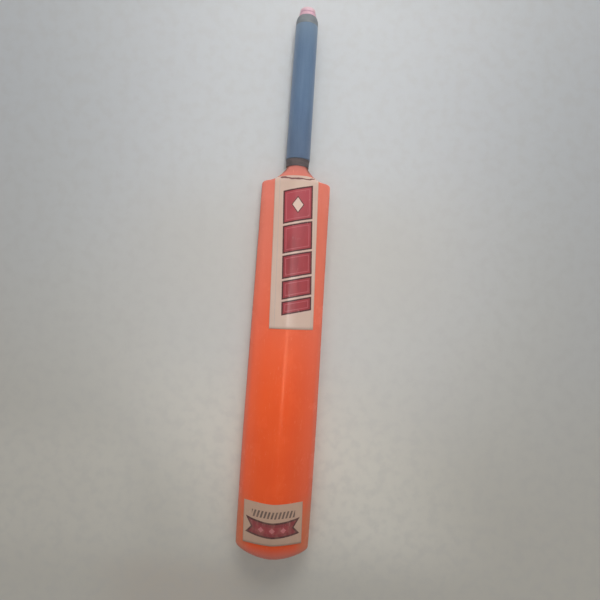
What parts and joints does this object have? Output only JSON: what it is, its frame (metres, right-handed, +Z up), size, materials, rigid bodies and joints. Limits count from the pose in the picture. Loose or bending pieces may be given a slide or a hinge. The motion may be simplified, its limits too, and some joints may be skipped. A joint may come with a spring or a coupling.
{
  "type": "plastic cricket bat",
  "caption": "Hollow blow-moulded plastic cricket bat with a spined back, a flat striking face, a rubber-sleeved round handle and a plugged end.",
  "frame": {"origin": "middle of the bat's length and width, on the plane of the striking face that it lies on", "axes": "+X across the blade, +Y along the bat towards the handle's end, +Z up out of the spined back"},
  "size_m": [0.108, 0.818, 0.051],
  "materials": {
    "orange_plastic": "semi-gloss moulded, lightly scuffed",
    "plug_plastic": "satin moulded",
    "blue_rubber": "matte, with faint lengthwise streaks",
    "grey_band": "matte, dusty",
    "dark_band": "matte",
    "blade_label_film": "satin printed film",
    "toe_label_film": "satin printed film"
  },
  "bodies": {
    "root": {"bat_shell": "orange_plastic", "end_plug": "plug_plastic", "grip_sleeve": "blue_rubber", "grip_top_band": "grey_band", "grip_bottom_band": "dark_band", "blade_label": "blade_label_film", "toe_label": "toe_label_film"}
  },
  "joints": []
}
